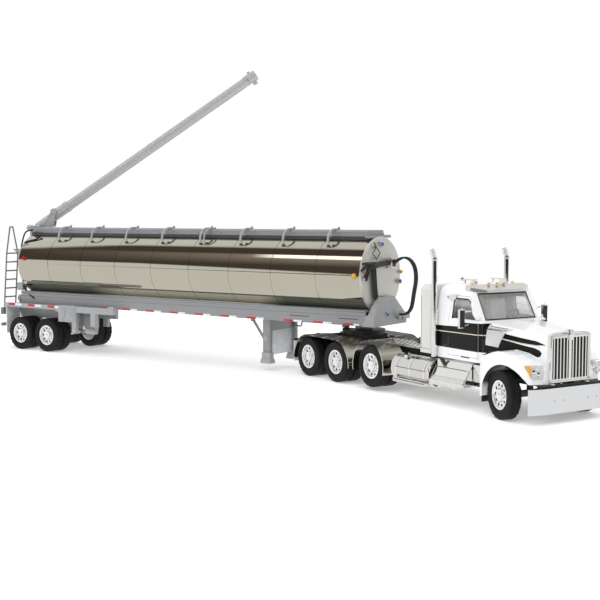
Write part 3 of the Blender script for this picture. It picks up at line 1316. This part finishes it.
# Hood: silver side panels, vents, flaps, grille and lamps, and the bumper's bolts
HOOD_REAR_X = 90.6
HOOD_LONG = 25
REAR_HALF = 14.4
REAR_LEAN_Z = 25
SHOULDER_HALF = 13.6
SHOULDER_Z = 28.6
FRONT_HALF = 8.9
FRONT_LEAN_Z = 27
FRONT_LEAN = 0.58
BUMPER_FACE = 119.45


def hood_side(x, z):
    """Half the hood's width at a place on its side."""
    if z > SHOULDER_Z:
        rear = SHOULDER_HALF - (z - SHOULDER_Z)
    else:
        lean = (REAR_HALF - SHOULDER_HALF) / (SHOULDER_Z - REAR_LEAN_Z)
        rear = REAR_HALF - lean * max(0, z - REAR_LEAN_Z)
    front = FRONT_HALF - FRONT_LEAN * max(0, z - FRONT_LEAN_Z)
    return rear + (front - rear) * (x - HOOD_REAR_X) / HOOD_LONG


def add_hood_patch(form, corners, out, side, steps=6):
    """A thin skin on the hood's side between four corners of (place, height)."""
    rows = []
    for i in range(steps + 1):
        row = []
        for j in range(steps + 1):
            s = i / steps
            t = j / steps
            upper = [corners[0][k] * (1 - s) + corners[1][k] * s for k in (0, 1)]
            lower = [corners[3][k] * (1 - s) + corners[2][k] * s for k in (0, 1)]
            x, z = [upper[k] * (1 - t) + lower[k] * t for k in (0, 1)]
            row.append((x, z))
        rows.append(row)
    rims = []
    for lift in (out, -0.3):
        grid = []
        for row in rows:
            grid.append([form.mesh.verts.new((x, side * (hood_side(x, z) + lift), z)) for x, z in row])
        for i in range(steps):
            for j in range(steps):
                form.mesh.faces.new((grid[i][j], grid[i + 1][j], grid[i + 1][j + 1], grid[i][j + 1]))
        ends = [row[-1] for row in grid[:-1]]
        starts = [row[0] for row in grid[:0:-1]]
        rims.append(grid[0][:-1] + ends + grid[-1][:0:-1] + starts)
    top, low = rims
    for i in range(len(top)):
        j = (i + 1) % len(top)
        form.mesh.faces.new((top[i], top[j], low[j], low[i]))


hood_trim = Form(TRACTOR)
vents = Form(TRACTOR)
for side in SIDES:
    add_hood_patch(hood_trim, [(91.5, 28.6), (98.9, 28.2), (96.6, 22.9), (91.6, 23.4)], 0.18, side)
    add_hood_patch(hood_trim, [(91.4, 30.2), (101, 29.3), (99.3, 28.4), (91.5, 28.9)], 0.3, side)
    for k in range(2):
        z = 29.05 + 0.55 * k
        line = [(91.8 + 0.95 * i, z - 0.045 * i) for i in range(9)]
        vents.pipe([(x, side * (hood_side(x, h) + 0.31), h) for x, h in line], 0.1, 6)
hood_trim.piece("hood_side_panels", "hood", PANEL_SILVER, crease=40)
vents.piece("hood_vents", "hood", GROOVE, crease=60)
hood_flaps = Form(TRACTOR)
for side in SIDES:
    hood_flaps.side_block(side, (93.9, 94.5), (13, 18), (4.7, 6.9), 0.08)
hood_flaps.piece("hood_flaps", "hood", BLACK_PLASTIC)
grille_back = Form(TRACTOR)
grille_back.block((115.9, -7.85, 14.2), (116.02, 7.85, 27.4), 0.02)
grille_back.piece("grille_back", "hood", BLACK_PLASTIC)
surround = Form(TRACTOR)
GRILLE_FRAME = [
    (-9.1, 13), (-8.3, 13), (-8.3, 27.6), (-7.4, 28.1), (7.4, 28.1), (8.3, 27.6), (8.3, 13), (9.1, 13),
    (9.1, 28.2), (7.8, 29.1), (0, 29.6), (-7.8, 29.1), (-9.1, 28.2),
]
GRILLE_PEAK = [(-1, 26.6), (1, 26.6), (1.2, 28.2), (0.9, 30.1), (-0.9, 30.1), (-1.2, 28.2)]
surround.plate(GRILLE_FRAME, "X", 115.4, 116.9, 0.12)
surround.block((115.6, -8.4, 13), (116.9, 8.4, 13.7), 0.15)
surround.plate(GRILLE_PEAK, "X", 115.5, 117.1, 0.15)
surround.piece("grille_surround", "hood", CHROME)
TURN_LENS = ((113.6, 16.85, 18.85), (115.05, 15.68, 18.85), (114.95, 15.76, 14.9))
LENS_OUT = Vector((0.658, 0.752, 0))


def add_turn_lamp(form, side):
    """A three-cornered lens on the outer end of a headlamp."""
    faces = []
    for out in (0.1, -0.25):
        spots = [Vector(corner) + LENS_OUT * out for corner in TURN_LENS]
        faces.append([form.mesh.verts.new((x, side * y, z)) for x, y, z in spots])
        form.mesh.faces.new(faces[-1])
    for i in range(3):
        j = (i + 1) % 3
        form.mesh.faces.new((faces[0][i], faces[0][j], faces[1][j], faces[1][i]))


LAMP_FACE = (115, 15.6)
LAMP_RUN = (1.3, -3)
lamp_bowls = Form(TRACTOR)
turn_lamps = Form(TRACTOR)
for side in SIDES:
    for at, low in ((0.28, 16.9), (0.75, 16.2)):
        x, y = [LAMP_FACE[k] + LAMP_RUN[k] * at for k in (0, 1)]
        spot = Vector((x, side * y, low))
        out = Vector((0.918, side * 0.398, 0))
        lamp_bowls.ring(spot + out * 0.03, out, 0.95, 0.16, 24, 6)
        lamp_bowls.dome(spot, out, 0.8, 0.3, 20, 4)
    add_turn_lamp(turn_lamps, side)
lamp_bowls.piece("headlamp_bowls", "hood", CHROME)
turn_lamps.piece("turn_lamps", "hood", AMBER)
bumper_bolts = Form(TRACTOR)
for y in (-9.5, -5.5, 5.5, 9.5):
    bumper_bolts.bolt(0.35, 0.12, 0.2, 0.2, (BUMPER_FACE, y, 7.6), AHEAD, 14)
bumper_bolts.piece("bumper_bolts", "tractor", SATIN_CHROME)

# Floor, light and surroundings
FLOOR_HALF = 4.0
FLOOR_CORNERS = [(-1, -1), (1, -1), (1, 1), (-1, 1)]
floor_mesh = bpy.data.meshes.new("floor")
floor_mesh.from_pydata([(x * FLOOR_HALF, y * FLOOR_HALF, 0) for x, y in FLOOR_CORNERS], [], [(0, 1, 2, 3)])
floor = bpy.data.objects.new("floor", floor_mesh)
bpy.context.scene.collection.objects.link(floor)
TABLE_EDGE = 0.42
SHADOW_REACH = (0.3, 0.5)
TABLE_WHITE = (0.86, 0.86, 0.86)
TABLE_GLOW = 0.3
MIRRORED_TABLE = (0.9, 0.89, 0.87)
MIRRORED_DARK = (0.03, 0.027, 0.024)
WHITE = (1, 1, 1)


def floor_finish():
    """A white table: it keeps the shadow, and the bright metal sees it end in the dark before the camera."""
    finish = Finish("floor_white")
    camera_ray, glossy, through = finish.rays("Is Camera Ray", "Is Glossy Ray", "Is Transmission Ray")
    x, y, _ = finish.parts(finish.place())
    ahead = y * CAMERA_AHEAD[1] + x * CAMERA_AHEAD[0]
    beyond = finish.ramp(0 - ahead, TABLE_EDGE, TABLE_EDGE + 0.05)
    away = finish.node("VectorMath", {"operation": "LENGTH"}, {0: finish.place()}, out="Value")
    lit = finish.node("BsdfDiffuse", {}, {"Color": rgba(TABLE_WHITE)}, out="BSDF")
    glow = finish.node("Emission", {}, {"Color": rgba(WHITE), "Strength": TABLE_GLOW})
    white = finish.node("Emission", {}, {"Color": rgba(WHITE), "Strength": 1.0})
    mirrored = finish.mix(MIRRORED_TABLE, MIRRORED_DARK, beyond)
    seen = finish.node("Emission", {}, {"Color": mirrored, "Strength": 1.0})
    sheet = finish.node("AddShader", {}, {0: lit, 1: glow})
    far = finish.ramp(away, *SHADOW_REACH) * camera_ray
    shown = finish.node("MixShader", {}, {0: far.larger(through), 1: sheet, 2: white})
    finish.output(finish.node("MixShader", {}, {0: glossy, 1: shown, 2: seen}))
    return finish.material


floor_mesh.materials.append(floor_finish())


def make_lamp(name, place, aim, size, power):
    """A square lamp that bright metal doesn't mirror."""
    data = bpy.data.lights.new(name, "AREA")
    data.size = size
    data.energy = power
    lamp = bpy.data.objects.new(name, data)
    lamp.location = place
    lamp.rotation_euler = (Vector(aim) - Vector(place)).to_track_quat("-Z", "Y").to_euler()
    lamp.visible_glossy = False
    bpy.context.scene.collection.objects.link(lamp)


make_lamp("key_lamp", place=(0.3, -0.8, 0.8), aim=(0, 0, 0.03), size=0.8, power=5.2)
make_lamp("top_lamp", place=(-0.1, 0.15, 1.0), aim=(0, 0, 0), size=1.2, power=5.5)

DARK_ROOM = (0.085, 0.068, 0.058)
PALE_ROOM = (0.67, 0.675, 0.69)
LEFT_WALL = (0.88, 0.88, 0.87)
HAZE = (0.42, 0.37, 0.31)
STRIP_LAMP = (2.4, 2.3, 2.2)
PLAIN_LIGHT = (0.62, 0.62, 0.62)
LEFT_END = 0.69
FLOOR_LINE = 14
CEILING_LINE = 86
HAZE_RISE = (22, 46)
HAZE_FALL = (60, 54)
HAZE_START = (-0.76, -0.56)
STRIP_LAMP_LOW = 46
STRIP_LAMP_HIGH = 57
STRIP_LAMP_START = (-0.61, -0.59)
STRIP_LAMP_END = -0.3


def surroundings():
    """A pale room, dark behind the camera, with a strip lamp that the tank mirrors near its front."""
    world = bpy.data.worlds.new("studio")
    bpy.context.scene.world = world
    finish = Finish("studio", world)
    camera_ray, glossy, through = finish.rays("Is Camera Ray", "Is Glossy Ray", "Is Transmission Ray")
    along, across, up = finish.parts(finish.node("TexCoord", out="Generated"))
    # Degrees over the trailer's long axis: 0 level on the near side, 90 overhead, 180 level behind
    over = finish.node("Math", {"operation": "ARCTAN2"}, {0: up, 1: 0 - across}) * (180 / pi)
    floor_line = (FLOOR_LINE - 80 * (along + LEFT_END)).smaller(FLOOR_LINE).larger(-4)
    ceiling_line = (CEILING_LINE + 400 * (along + LEFT_END)).smaller(CEILING_LINE)
    near_side = finish.ramp(across, -0.02, -0.16)
    dark = finish.ramp(over - floor_line, -1.5, 1.5) * finish.ramp(ceiling_line - over, -4, 6) * near_side
    pale = finish.mix(LEFT_WALL, PALE_ROOM, finish.ramp(along, -0.6, 0.3))
    room = finish.mix(pale, DARK_ROOM, dark)
    height = finish.ramp(over, *HAZE_RISE) * finish.ramp(over, *HAZE_FALL)
    haze = height * finish.ramp(along, *HAZE_START) * near_side * along.below(0)
    strip = over.above(STRIP_LAMP_LOW) * over.below(STRIP_LAMP_HIGH)
    strip = strip * finish.ramp(along, *STRIP_LAMP_START) * along.below(STRIP_LAMP_END)
    room = finish.mix(room, HAZE, haze)
    room = finish.mix(room, STRIP_LAMP, strip)
    plain = finish.mix(PLAIN_LIGHT, room, glossy)
    seen = finish.mix(plain, WHITE, camera_ray.larger(through))
    finish.output(finish.node("Background", {}, {"Color": seen, "Strength": 1.0}), "World")


surroundings()
